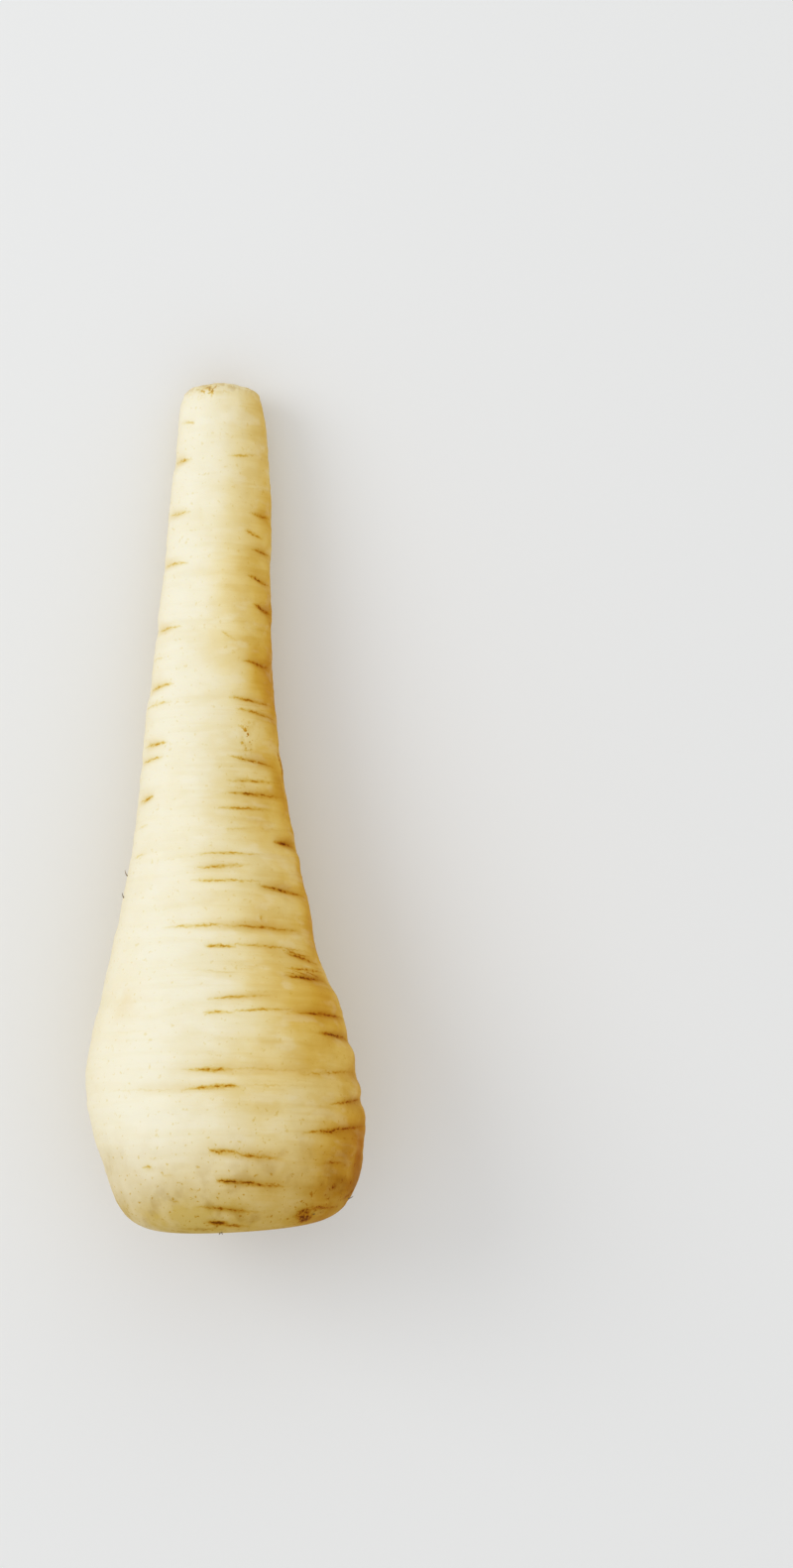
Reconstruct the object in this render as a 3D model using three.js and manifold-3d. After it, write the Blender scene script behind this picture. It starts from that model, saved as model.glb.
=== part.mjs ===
// A parsnip as a greengrocer sells it: one washed taproot with its tail broken off, lying on its side, and the
// dry stubs of its leaf stalks in the sunken crown. Millimetres, +Z up, the crown towards -Y and the tail
// towards +Y, the origin on the surface below the middle of the footprint.
import * as THREE from "three";
import { mergeVertices } from "three/addons/utils/BufferGeometryUtils.js";
import Module from "manifold-3d";

// Driving dimensions of the root
const LENGTH = 160; // from the crown's face to the broken end
const FLATNESS = 0.97; // height of a ring over its width
const BOW = 1.0; // how far the middle of the root sags out of straight
const PITCH = THREE.MathUtils.degToRad(7.82); // the axis falls by this from the shoulder to the tail
const NOD = Math.tan(THREE.MathUtils.degToRad(9)); // the crown's face leans down by this from square
const NODDING = { from: 6, to: 32 }; // the lean fades out between these distances from the crown's face
const PRESSED = 0.6; // what the flat spots take off the underside
const FOOTPRINT = { x: 0.05, y: 79.85 }; // middle of the footprint, from the crown's face on the middle line
const SIDES = 44; // facets round a ring
const ROW_STEP = 1.5; // distance between rows of facets

// Rings from the floor of the crown's pit, over its rim and the shoulder, to the broken end. Each ring is an
// ellipse between two points of the outline seen from above, one on the left and one on the right, given as
// [distance from the crown's face, distance from the middle line].
const RINGS = [
  { left: [7.8, 2.5], right: [7.8, 2.5] }, // middle of the pit
  { left: [7.7, -3.0], right: [8.0, 8.0] },
  { left: [7.1, -6.6], right: [7.8, 11.6] },
  { left: [4.9, -8.3], right: [6.0, 13.3] },
  { left: [2.3, -9.0], right: [3.6, 14.0] },
  { left: [1.2, -10.4], right: [2.6, 15.3] }, // rim
  { left: [1.3, -13.4], right: [3.1, 18.2] },
  { left: [2.6, -17.1], right: [4.5, 21.2] },
  { left: [5.6, -19.7], right: [7.2, 23.5] },
  { left: [10.6, -21.7], right: [11.0, 25.0] },
  { left: [16.2, -23.6], right: [15.2, 25.7] },
  { left: [22.4, -25.3], right: [19.8, 26.0] },
  { left: [29.0, -26.1], right: [25.0, 25.4] }, // shoulder
  { left: [35.2, -25.3], right: [31.0, 24.3] },
  { left: [41.5, -23.9], right: [37.5, 22.6] },
  { left: [47.0, -22.5], right: [43.0, 21.6] },
  { left: [52.0, -21.5], right: [47.2, 19.3] },
  { left: [57.0, -20.5], right: [51.5, 17.1] },
  { left: [64.0, -18.9], right: [61.5, 15.5] }, // waist
  { left: [73.0, -17.4], right: [72.0, 13.1] },
  { left: [84.0, -16.1], right: [83.5, 10.8] },
  { left: [97.0, -15.3], right: [96.8, 9.1] },
  { left: [110.0, -13.4], right: [109.4, 8.2] },
  { left: [122.5, -12.2], right: [122.0, 8.0] },
  { left: [135.0, -11.1], right: [135.0, 8.3] },
  { left: [146.0, -9.8], right: [146.0, 7.7] },
  { left: [153.4, -9.2], right: [153.2, 6.9] },
  { left: [157.6, -8.7], right: [157.6, 6.1] }, // edge of the broken end
  { left: [160.0, -6.8], right: [159.8, 4.2] },
  { left: [160.2, -1.2], right: [160.2, -1.2] },
];

// Creases that run part of the way round, where side rootlets broke through: [distance from the crown's face,
// angle of the middle, reach either way, depth, slant]. Angles are in degrees, from the right-hand side over
// the top. The slant is how much further from the crown the right-hand end lies.
const CREASES = [
  [3.9, 94, 17, 0.35, 0],
  [6.8, 90, 18, 0.3, -0.5],
  [11.5, 82, 20, 0.5, -1.5],
  [16.0, 82, 24, 0.45, -1.2],
  [19.8, 28, 30, 0.6, 1.5],
  [24.7, 12, 28, 0.6, 2.0],
  [26.1, 98, 40, 0.5, 0.5],
  [29.0, 80, 46, 0.4, 0.4],
  [29.4, 16, 34, 0.5, 1.5],
  [36.4, 18, 26, 1.1, 0],
  [40.1, 34, 36, 0.6, 0.2],
  [42.5, 78, 24, 0.4, 1.0],
  [46.9, 28, 32, 1.2, 0.3],
  [50.6, 32, 22, 0.7, -1.6],
  [52.1, 64, 40, 0.4, -0.5],
  [55.9, 60, 44, 0.7, -0.4],
  [63.2, 34, 30, 0.9, -1.1],
  [67.2, 84, 24, 0.4, 0.8],
  [72.5, 20, 26, 1.0, 0.2],
  [81.2, 46, 34, 0.6, 0.1],
  [87.4, 42, 30, 0.5, -1.6],
  [96.6, 38, 28, 0.5, -1.2],
  [98.8, 44, 30, 0.5, -1.1],
  [106.0, 34, 26, 0.4, -0.7],
  [116.7, 26, 22, 0.6, -1.1],
  [121.9, 30, 24, 0.6, -1.1],
  [127.5, 28, 20, 0.5, -0.3],
  [134.4, 30, 22, 0.5, -0.3],
  [80.8, 156, 20, 0.5, 0.7],
  [88.2, 158, 26, 0.5, 0.2],
  [91.0, 152, 26, 0.4, 0.1],
  [101.9, 156, 28, 0.5, 0.8],
  [113.0, 156, 28, 0.5, -0.1],
  [125.2, 154, 28, 0.4, -0.1],
  [134.8, 154, 28, 0.4, -0.3],
  [144.9, 156, 26, 0.5, -0.2],
];
const HIDDEN_CREASES = 26; // on the underside, placed by a seeded rule
const CREASE_WIDTH = 1.1; // half width of the groove, along the root
const SWELLING = 0.55; // the skin beside a crease stands out by this share of its depth

// Driving dimensions of the leaf stalks' stubs, measured out from the floor of the pit
const CROWN_TILT = THREE.MathUtils.degToRad(3.4); // the rim leans to the left by this
const STUBS = 27;
const STUB_SPREAD = 1.72; // distance of stub i from the middle, over the root of i
const GOLDEN_ANGLE = Math.PI * (3 - Math.sqrt(5)); // leaves follow each other at this angle
const STUB_SUNK = 1.2; // depth of a stub's foot in the crown's cushion
const STUB_SIDES = 9;
const INNER = 5; // the first stubs are the youngest: round, and not crescents
const TOP = 6.7; // no stub stands higher than this
// The cushion that the stalks grow from, as [radius, height]: its underside follows the pit with a small gap.
const CUSHION = [
  [0, 0.35],
  [5.4, 0.45],
  [8.0, 1.15],
  [9.7, 2.7],
  [10.2, 3.7],
  [9.7, 4.1],
  [7.0, 4.5],
  [3.5, 4.8],
  [0, 4.9],
];

const wasm = await Module();
wasm.setup();

// Numbers between two limits, the same on every run.
function drawsFrom(seed) {
  let state = seed;
  return (low, high) => {
    state = (state * 16807) % 2147483647;
    return low + ((high - low) * state) / 2147483647;
  };
}

// A smooth curve (a uniform cubic B-spline) that passes close by each row of numbers and ends on the outer two.
function smoothCurve(rows, t) {
  const last = rows.length - 1;
  const i = Math.min(Math.floor(t), last - 1);
  const f = t - i;
  const weights = [
    (1 - f) ** 3,
    3 * f ** 3 - 6 * f ** 2 + 4,
    -3 * f ** 3 + 3 * f ** 2 + 3 * f + 1,
    f ** 3,
  ];
  const value = (n, k) => {
    if (n < 0) return 2 * rows[0][k] - rows[1][k];
    if (n > last) return 2 * rows[last][k] - rows[last - 1][k];
    return rows[n][k];
  };
  return rows[0].map(
    (_, k) => weights.reduce((sum, w, j) => sum + w * value(i + j - 1, k), 0) / 6,
  );
}

// The hidden side is creased like the visible one: a crease every few millimetres, left and right in turn.
function hiddenCreases() {
  const between = drawsFrom(4177);
  const creases = [];
  for (let i = 0; i < HIDDEN_CREASES; i++) {
    const along = 10 + ((LENGTH - 22) * (i + between(0.2, 0.8))) / HIDDEN_CREASES;
    const angle = (i % 2 ? 225 : 315) + between(-28, 28);
    creases.push([along, angle, between(14, 30), between(0.35, 0.7), between(-1, 1)]);
  }
  return creases;
}

// How far the skin stands in or out at a place: each crease is a groove with a swelling on its crown side.
function relief(creases, along, degrees) {
  let height = 0;
  for (const [at, angle, reach, depth, slant] of creases) {
    const turn = ((degrees - angle + 540) % 360) - 180;
    const share = turn / reach;
    if (Math.abs(share) >= 1) continue;
    const fade = (1 - share ** 2) ** 2;
    const offset = (along - at + (share * slant) / 2) / CREASE_WIDTH;
    height -= depth * fade * Math.exp(-(offset ** 2));
    height += SWELLING * depth * fade * Math.exp(-(((offset + 2.4) / 1.7) ** 2));
  }
  return height;
}

// Broad, shallow unevenness of the top and the underside. It is nothing in the outline seen from above.
function unevenness(along, angle) {
  const waves =
    0.5 * Math.sin(along / 19 + 2 * angle) + 0.4 * Math.sin(along / 11 - 3 * angle);
  const ends = Math.sin(Math.PI * THREE.MathUtils.clamp(along / LENGTH, 0, 1));
  return waves * ends * Math.sin(angle) ** 2;
}

// From the root's own frame (across, along from the crown's face, height above the axis) to where it lies,
// before the lift that puts its underside on the surface.
function lie(across, along, height) {
  const nod = NOD * (1 - THREE.MathUtils.smoothstep(along, NODDING.from, NODDING.to));
  const axial = along - nod * height;
  return new THREE.Vector3(
    across - FOOTPRINT.x,
    axial * Math.cos(PITCH) + height * Math.sin(PITCH) - FOOTPRINT.y,
    height * Math.cos(PITCH) - axial * Math.sin(PITCH),
  );
}

function bow(along) {
  return -BOW * Math.sin(Math.PI * THREE.MathUtils.clamp(along / LENGTH, 0, 1));
}

// A point of the skin: t counts the rings and may be a fraction, angle turns from the right over the top.
function skinPoint(creases, t, angle) {
  const rows = RINGS.map(({ left, right }) => [...left, ...right]);
  const [alongLeft, acrossLeft, alongRight, acrossRight] = smoothCurve(rows, t);
  const cos = Math.cos(angle);
  const half = (acrossRight - acrossLeft) / 2;
  const along = (alongLeft + alongRight) / 2 + ((alongRight - alongLeft) / 2) * cos;
  const degrees = THREE.MathUtils.radToDeg(angle);
  const inPit = THREE.MathUtils.smoothstep(t, 5, 8);
  const out = inPit * (relief(creases, along, degrees) + unevenness(along, angle));
  return lie(
    (acrossLeft + acrossRight) / 2 + (half + out) * cos,
    along,
    bow(along) + (half + out) * FLATNESS * Math.sin(angle),
  );
}

// A closed mesh from rings of points, whose first and last rings are single points.
function closedSkin(rings) {
  const points = [rings[0][0], ...rings.slice(1, -1).flat(), rings.at(-1)[0]];
  const sides = rings[1].length;
  const faces = [];
  const at = (row, side) => 1 + (row - 1) * sides + (side % sides);
  const end = points.length - 1;
  for (let side = 0; side < sides; side++) {
    faces.push(0, at(1, side), at(1, side + 1));
    faces.push(end, at(rings.length - 2, side + 1), at(rings.length - 2, side));
    for (let row = 1; row < rings.length - 2; row++) {
      const [a, b] = [at(row, side), at(row, side + 1)];
      const [c, d] = [at(row + 1, side), at(row + 1, side + 1)];
      faces.push(a, d, b, a, c, d);
    }
  }
  return new THREE.BufferGeometry().setFromPoints(points).setIndex(faces);
}

function rootGeometry() {
  const creases = [...CREASES, ...hiddenCreases()];
  const rings = [];
  for (let i = 0; i < RINGS.length - 1; i++) {
    const [a, b] = [RINGS[i], RINGS[i + 1]];
    const span = Math.hypot(b.left[0] - a.left[0], b.left[1] - a.left[1]);
    const rows = Math.max(1, Math.round(span / ROW_STEP));
    for (let j = 0; j < rows; j++) rings.push(i + j / rows);
  }
  rings.push(RINGS.length - 1);
  const points = rings.map((t, row) => {
    const pole = row === 0 || row === rings.length - 1;
    const count = pole ? 1 : SIDES;
    return Array.from({ length: count }, (_, k) =>
      skinPoint(creases, t, (2 * Math.PI * k) / SIDES),
    );
  });
  const lowest = Math.min(...points.flat().map((p) => p.z));
  const lift = -lowest - PRESSED;
  for (const p of points.flat()) p.z = Math.max(p.z + lift, 0);
  return { geometry: closedSkin(points), lift };
}

// A stub's upright shell: a crescent round the crown's middle, narrower and askew at its broken top.
function stubGeometry(i, floor, between) {
  const inner = i < INNER;
  const away = STUB_SPREAD * Math.sqrt(i + 0.25);
  const turn = i * GOLDEN_ANGLE;
  const width = inner ? between(2.6, 3.4) : between(4.8, 6.6);
  const thick = inner ? between(2.1, 2.8) : between(1.5, 2.1);
  const tall = TOP - floor - between(0, inner ? 0.6 : 1.3);
  const lean = 0.04 * away;
  const askew = between(-0.2, 0.2);
  const levels = [0, 0.45, 0.8, 1];
  const taper = [1, 0.95, 0.88, 0.6];
  const ring = (level, scale) =>
    Array.from({ length: STUB_SIDES }, (_, k) => {
      const round = (2 * Math.PI * k) / STUB_SIDES;
      const wide = (width / 2) * scale * Math.cos(round);
      const deep = (thick / 2) * scale * Math.sin(round);
      const up = (tall + STUB_SUNK) * level;
      const radius = away + deep + lean * up;
      const angle = turn + wide / (away + 1.4);
      const lower = (askew * wide - (Math.abs(askew) * width) / 2) * level;
      const height = floor - STUB_SUNK + up + lower;
      return new THREE.Vector3(radius * Math.cos(angle), radius * Math.sin(angle), height);
    });
  const middle = (points) =>
    points.reduce((sum, p) => sum.add(p), new THREE.Vector3()).divideScalar(points.length);
  const rings = levels.map((level, n) => ring(level, taper[n]));
  return closedSkin([[middle(rings[0])], ...rings, [middle(rings.at(-1))]]);
}

function solidOf(geometry) {
  const bare = new THREE.BufferGeometry();
  bare.setAttribute("position", geometry.getAttribute("position"));
  bare.setIndex(geometry.index);
  const merged = mergeVertices(bare, 1e-4);
  return new wasm.Manifold(
    new wasm.Mesh({
      numProp: 3,
      vertProperties: new Float32Array(merged.attributes.position.array),
      triVerts: new Uint32Array(merged.index.array),
    }),
  );
}

function geometryOf(solid) {
  const mesh = solid.getMesh();
  return new THREE.BufferGeometry()
    .setAttribute("position", new THREE.BufferAttribute(mesh.vertProperties, 3))
    .setIndex(new THREE.BufferAttribute(mesh.triVerts, 1));
}

// Height of the cushion's top at a distance from its middle.
function cushionTop(away) {
  const top = CUSHION.slice(5).reverse();
  const next = top.findIndex(([radius]) => radius >= away);
  if (next < 1) return next ? top.at(-1)[1] : top[0][1];
  const [[r0, h0], [r1, h1]] = [top[next - 1], top[next]];
  return h0 + ((h1 - h0) * (away - r0)) / (r1 - r0);
}

// The cushion with every stub sunk into it and fused. Its own frame has +Z out of the crown.
function stubsGeometry() {
  const profile = CUSHION.map(([radius, height]) => new THREE.Vector2(radius, height));
  const lathe = new THREE.LatheGeometry(profile, 26);
  lathe.rotateX(Math.PI / 2);
  const between = drawsFrom(2903);
  let solid = solidOf(lathe);
  for (let i = 0; i < STUBS; i++) {
    const floor = cushionTop(STUB_SPREAD * Math.sqrt(i + 0.25));
    solid = solid.add(solidOf(stubGeometry(i, floor, between)));
  }
  return geometryOf(solid);
}

const skinColour = new THREE.MeshStandardMaterial({
  color: 0xe9d8a6,
  roughness: 0.5,
  metalness: 0,
  side: THREE.FrontSide,
});
const stubColour = new THREE.MeshStandardMaterial({
  color: 0x8f7650,
  roughness: 0.9,
  metalness: 0,
});

const { geometry, lift } = rootGeometry();
const root = new THREE.Mesh(geometry, skinColour);
root.name = "root";

const stubs = new THREE.Mesh(stubsGeometry(), stubColour);
stubs.name = "leaf_stalk_stubs";
const pitMiddle = { across: RINGS[0].left[1], along: RINGS[0].left[0] };
stubs.position.copy(lie(pitMiddle.across, pitMiddle.along, bow(pitMiddle.along)));
stubs.position.z += lift;
stubs.rotation.set(Math.PI / 2 - PITCH + Math.atan(NOD), 0, CROWN_TILT, "ZXY");

const parsnip = new THREE.Group();
parsnip.add(root, stubs);

export default parsnip;
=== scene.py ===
"""The looks of a parsnip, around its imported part: creased and stained skin, the dry stubs of its leaf
stalks, a few rootlets, and the floor, lights and camera.

Every surface is a function of two parameters, worked out with numpy in millimetres in the root's own frame:
across to the right, along from the crown's face to the tail, and height above the root's axis. lie() lays
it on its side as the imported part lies, and its mesh takes it in metres.
"""

import bpy
import numpy as np
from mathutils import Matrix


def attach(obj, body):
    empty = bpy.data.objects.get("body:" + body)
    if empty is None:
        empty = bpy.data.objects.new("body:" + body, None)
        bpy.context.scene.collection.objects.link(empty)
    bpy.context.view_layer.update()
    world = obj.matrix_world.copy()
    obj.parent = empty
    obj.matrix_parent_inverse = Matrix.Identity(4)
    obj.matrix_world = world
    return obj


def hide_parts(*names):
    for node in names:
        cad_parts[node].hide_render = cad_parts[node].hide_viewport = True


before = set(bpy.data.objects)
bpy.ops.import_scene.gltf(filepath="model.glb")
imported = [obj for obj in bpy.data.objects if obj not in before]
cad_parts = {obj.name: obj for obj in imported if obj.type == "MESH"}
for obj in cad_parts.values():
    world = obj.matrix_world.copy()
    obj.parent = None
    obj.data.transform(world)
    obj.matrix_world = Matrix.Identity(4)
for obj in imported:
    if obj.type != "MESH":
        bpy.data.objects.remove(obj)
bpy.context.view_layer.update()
MM = 0.001

# Driving dimensions of the root, as in the part's source
LENGTH = 160.0
FLATNESS = 0.97
BOW = 1.0
PITCH = np.radians(7.82)
NOD = np.tan(np.radians(9.0))
NODDING = (6.0, 32.0)
PRESSED = 0.6
FOOTPRINT = (0.05, 79.85)
RINGS = np.array(
    [  # left along, left across, right along, right across
        (7.8, 2.5, 7.8, 2.5),
        (7.7, -3.0, 8.0, 8.0),
        (7.1, -6.6, 7.8, 11.6),
        (4.9, -8.3, 6.0, 13.3),
        (2.3, -9.0, 3.6, 14.0),
        (1.2, -10.4, 2.6, 15.3),
        (1.3, -13.4, 3.1, 18.2),
        (2.6, -17.1, 4.5, 21.2),
        (5.6, -19.7, 7.2, 23.5),
        (10.6, -21.7, 11.0, 25.0),
        (16.2, -23.6, 15.2, 25.7),
        (22.4, -25.3, 19.8, 26.0),
        (29.0, -26.1, 25.0, 25.4),
        (35.2, -25.3, 31.0, 24.3),
        (41.5, -23.9, 37.5, 22.6),
        (47.0, -22.5, 43.0, 21.6),
        (52.0, -21.5, 47.2, 19.3),
        (57.0, -20.5, 51.5, 17.1),
        (64.0, -18.9, 61.5, 15.5),
        (73.0, -17.4, 72.0, 13.1),
        (84.0, -16.1, 83.5, 10.8),
        (97.0, -15.3, 96.8, 9.1),
        (110.0, -13.4, 109.4, 8.2),
        (122.5, -12.2, 122.0, 8.0),
        (135.0, -11.1, 135.0, 8.3),
        (146.0, -9.8, 146.0, 7.7),
        (153.4, -9.2, 153.2, 6.9),
        (157.6, -8.7, 157.6, 6.1),
        (160.0, -6.8, 159.8, 4.2),
        (160.2, -1.2, 160.2, -1.2),
    ]
)
SIDES = 240
ROW_STEP = 0.48

# Places along the rings: the crown's lip, where the tail frays, where its face begins, its core's ring
LIP = 5.0
FRAYED = 26.4
FACE = 26.9
CORE = 28.5

# Deep creases: along, angle of the middle, reach either way, depth, slant, as in the part's source
CREASES = [
    (3.9, 94, 17, 0.35, 0),
    (6.8, 90, 18, 0.3, -0.5),
    (11.5, 82, 20, 0.5, -1.5),
    (16.0, 82, 24, 0.45, -1.2),
    (19.8, 28, 30, 0.6, 1.5),
    (24.7, 12, 28, 0.6, 2.0),
    (26.1, 98, 40, 0.5, 0.5),
    (29.0, 80, 46, 0.4, 0.4),
    (29.4, 16, 34, 0.5, 1.5),
    (36.4, 18, 26, 1.1, 0),
    (40.1, 34, 36, 0.6, 0.2),
    (42.5, 78, 24, 0.4, 1.0),
    (46.9, 28, 32, 1.2, 0.3),
    (50.6, 32, 22, 0.7, -1.6),
    (52.1, 64, 40, 0.4, -0.5),
    (55.9, 60, 44, 0.7, -0.4),
    (63.2, 34, 30, 0.9, -1.1),
    (67.2, 84, 24, 0.4, 0.8),
    (72.5, 20, 26, 1.0, 0.2),
    (81.2, 46, 34, 0.6, 0.1),
    (87.4, 42, 30, 0.5, -1.6),
    (96.6, 38, 28, 0.5, -1.2),
    (98.8, 44, 30, 0.5, -1.1),
    (106.0, 34, 26, 0.4, -0.7),
    (116.7, 26, 22, 0.6, -1.1),
    (121.9, 30, 24, 0.6, -1.1),
    (127.5, 28, 20, 0.5, -0.3),
    (134.4, 30, 22, 0.5, -0.3),
    (80.8, 156, 20, 0.5, 0.7),
    (88.2, 158, 26, 0.5, 0.2),
    (91.0, 152, 26, 0.4, 0.1),
    (101.9, 156, 28, 0.5, 0.8),
    (113.0, 156, 28, 0.5, -0.1),
    (125.2, 154, 28, 0.4, -0.1),
    (134.8, 154, 28, 0.4, -0.3),
    (144.9, 156, 26, 0.5, -0.2),
]
HIDDEN_CREASES = 26
HIDDEN_SEED = 4177
CREASE_WIDTH = 1.1

# Swelling beside a crease: its height as a share of the depth, its distance and its width in crease widths
SWELLING = 0.55
SWELLING_AWAY = 2.4
SWELLING_WIDTH = 1.7

# Fine brown lines in and beside the creases: their grooves, then for each its place along, angle of the
# middle, reach either way, strength and slant
LINE_WIDTH = 0.4
LINE_DEPTH = 0.15
LINES = [
    # left flank
    (152.1, 142, 16, 0.30, -0.5),
    (144.9, 151, 26, 0.45, -0.2),
    (134.8, 150, 28, 0.40, -0.3),
    (125.2, 148, 28, 0.40, -0.1),
    (113.0, 150, 28, 0.40, -0.1),
    (107.4, 158, 19, 0.15, 0.1),
    (101.9, 150, 26, 0.55, 0.8),
    (98.4, 150, 26, 0.35, 0.5),
    (91.0, 148, 23, 0.55, 0.1),
    (88.2, 154, 24, 0.50, 0.2),
    (80.8, 154, 15, 0.60, 0.7),
    (75.5, 152, 9, 0.15, 0.3),
    (70.0, 155, 14, 0.20, 0.7),
    (36.4, 137, 20, 0.05, -0.5),
    # right flank of the tail
    (145.5, 59, 25, 0.40, 0.5),
    (134.4, 30, 26, 0.65, -0.3),
    (130.5, 45, 16, 0.65, -1.4),
    (127.5, 28, 24, 0.70, -0.4),
    (121.9, 30, 27, 0.85, -1.2),
    (116.7, 26, 24, 0.85, -1.2),
    (114.2, 7, 12, 0.50, -0.7),
    (110.8, 73, 9, 0.30, -2.1),
    (106.0, 34, 28, 0.70, -0.8),
    (98.8, 42, 32, 0.65, -1.1),
    (96.6, 38, 30, 0.65, -1.2),
    (87.4, 48, 30, 0.70, -1.6),
    (83.7, 47, 32, 0.60, 0.5),
    (81.2, 47, 33, 0.80, 0.2),
    (78.3, 62, 24, 0.60, 0.4),
    (74.4, 69, 15, 0.15, 0.7),
    (72.5, 20, 24, 0.90, 0.2),
    # waist
    (69.6, 75, 26, 0.50, 0.3),
    (67.2, 82, 20, 0.60, 0.8),
    (64.5, 79, 27, 0.50, 0.2),
    (63.2, 34, 28, 0.90, -1.1),
    (55.9, 103, 20, 0.55, 0.5),
    (55.8, 53, 34, 0.60, -0.3),
    (52.0, 86, 11, 0.65, -0.1),
    (52.2, 52, 32, 0.50, -0.5),
    (50.6, 30, 20, 0.80, -1.6),
    (48.4, 32, 22, 0.70, 0.3),
    (46.9, 32, 24, 0.90, 0.3),
    (47.3, 95, 15, 0.15, -0.8),
    # belly
    (42.5, 79, 18, 0.50, 1.0),
    (39.5, 89, 9, 0.50, -0.2),
    (40.2, 67, 19, 0.50, 1.0),
    (40.1, 27, 28, 0.80, 0.1),
    (36.4, 20, 24, 0.90, 0.0),
    (29.0, 96, 12, 0.70, 0.1),
    (29.2, 66, 27, 0.20, 0.2),
    (29.4, 30, 26, 0.45, 1.9),
    (26.1, 95, 14, 0.80, 0.7),
    (25.9, 129, 24, 0.10, -0.4),
    (26.5, 67, 20, 0.15, 0.0),
    (24.7, 18, 24, 0.70, 2.0),
    (19.8, 30, 28, 0.80, 1.5),
    # shoulder
    (16.3, 90, 9, 0.75, -0.3),
    (15.5, 75, 12, 0.60, -0.9),
    (14.3, 38, 8, 0.60, 0.0),
    (11.7, 89, 8, 0.90, -0.5),
    (11.1, 75, 14, 0.80, -1.1),
    (7.1, 98, 11, 0.70, -0.5),
    (6.6, 84, 10, 0.60, -0.6),
    (4.3, 99, 8, 0.90, -0.2),
    (3.7, 88, 10, 0.60, -0.5),
    (6.3, 35, 17, 0.60, -0.2),
    (8.5, 13, 12, 0.70, 2.1),
    (13.7, 129, 4, 0.45, 0.3),
    (12.5, 119, 4, 0.25, 0.2),
    (8.2, 119, 4, 0.25, -0.2),
    (10.2, 108, 4, 0.20, 0.0),
    (2.9, 112, 20, 0.30, 0.2),
    (2.2, 84, 14, 0.40, -0.2),
]
# Dark spots and scars: along, angle, half length along, half width round, strength
SPOTS = [
    (57.6, 61, 0.35, 0.5, 0.8),
    (10.2, 36, 0.4, 0.5, 2.0),
    (5.7, 52, 0.8, 1.5, 1.7),
    (4.5, 47, 0.6, 1.4, 2.2),
    (6.8, 43, 0.3, 2.2, 0.8),
    (87.3, 9, 2.4, 0.8, 1.0),
    (89.2, 13, 1.0, 0.6, 0.8),
    (4.2, 99, 0.4, 1.5, 0.9),
    (158.3, 107, 0.7, 0.25, 1.0),
    (158.6, 112, 0.3, 0.6, 0.8),
    (157.2, 103, 0.5, 0.2, 0.5),
]
# Speckled scabs, and golden stains, with the same columns
SCABS = [
    (91.8, 57, 2.4, 2.0, 1.0),
    (4.9, 49, 1.6, 2.6, 1.0),
    (158.4, 108, 1.3, 3.4, 1.0),
]
STAINS = [
    (15, 14, 6, 5, 0.8),
    (29, 8, 6, 5, 0.4),
    (42, 140, 3, 4, 0.25),
    (98, 20, 5, 4, 0.2),
]
# Share of golden tone in the skin's colour, by angle round the root: partly the skin's own golden flank,
# partly painted shade on the right flank and underside, which face away from the key lamp
GOLD_AND_SHADE = np.array(
    [
        (0, 0.84),
        (20, 0.84),
        (45, 0.68),
        (75, 0.42),
        (105, 0.16),
        (130, 0.03),
        (180, 0.0),
        (225, 0.2),
        (270, 0.3),
        (315, 0.42),
        (340, 0.64),
        (360, 0.84),
    ]
)
# Dried rootlets: how many, and the first ones' along, angle and length
ROOTLETS = 24
FIRST_ROOTLETS = [
    (66.8, 172, 1.5),
    (62.6, 170, 1.3),
    (7.5, 12, 1.2),
    (5.2, 44, 0.9),
    (2.2, 99, 1.3),
    (2.1, 101, 0.9),
]


def eased(f):
    """Smooth step: 3 f^2 - 2 f^3, with f held between 0 and 1."""
    f = np.clip(f, 0, 1)
    return f * f * (3 - 2 * f)


def drawn_from(seed):
    """Numbers between two limits, from the state times 16807 modulo 2^31 - 1, as in the part's source."""
    modulus = 2**31 - 1
    state = seed

    def between(low, high):
        nonlocal state
        state = state * 16807 % modulus
        return low + (high - low) * state / modulus

    return between


def smooth_curve(rows, t):
    """Uniform cubic B-spline near the rows of numbers, with the weights (1 - f)^3, 3f^3 - 6f^2 + 4,
    -3f^3 + 3f^2 + 3f + 1 and f^3, all over six."""
    padded = np.vstack([2 * rows[0] - rows[1], rows, 2 * rows[-1] - rows[-2]])
    i = np.minimum(t.astype(int), len(rows) - 2)
    f = (t - i)[..., None]
    weights = ((1 - f) ** 3, 3 * f**3 - 6 * f**2 + 4, -3 * f**3 + 3 * f**2 + 3 * f + 1, f**3)
    return sum(w * padded[i + k] for k, w in enumerate(weights)) / 6


def soft_noise(along, degrees, cell, cells_round, seed):
    """Noise from -1 to 1: random values at the corners of a grid along and round the root, eased between
    them. The grid starts 15 mm before the crown's face and is 220 mm long."""
    before = 15
    span = 220
    values = np.random.default_rng(seed).uniform(-1, 1, (int(span / cell) + 4, cells_round))
    a = (along + before) / cell
    r = (degrees % 360) / 360 * cells_round
    i = np.clip(a.astype(int), 0, len(values) - 2)
    j = r.astype(int) % cells_round
    fa = eased(a - i)
    fr = eased(r - np.floor(r))
    k = (j + 1) % cells_round
    near = values[i, j] * (1 - fr) + values[i, k] * fr
    far = values[i + 1, j] * (1 - fr) + values[i + 1, k] * fr
    return near * (1 - fa) + far * fa


def hidden_creases():
    """Creases of the underside: one every few mm, left and right in turn, as in the part's source."""
    between = drawn_from(HIDDEN_SEED)
    creases = []
    for i in range(HIDDEN_CREASES):
        along = 10 + (LENGTH - 22) * (i + between(0.2, 0.8)) / HIDDEN_CREASES
        angle = (225 if i % 2 else 315) + between(-28, 28)
        creases.append((along, angle, between(14, 30), between(0.35, 0.7), between(-1, 1)))
    return creases


def past(degrees, angle):
    """Degrees past an angle, from -180 to 180."""
    return (degrees - angle + 540) % 360 - 180


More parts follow.
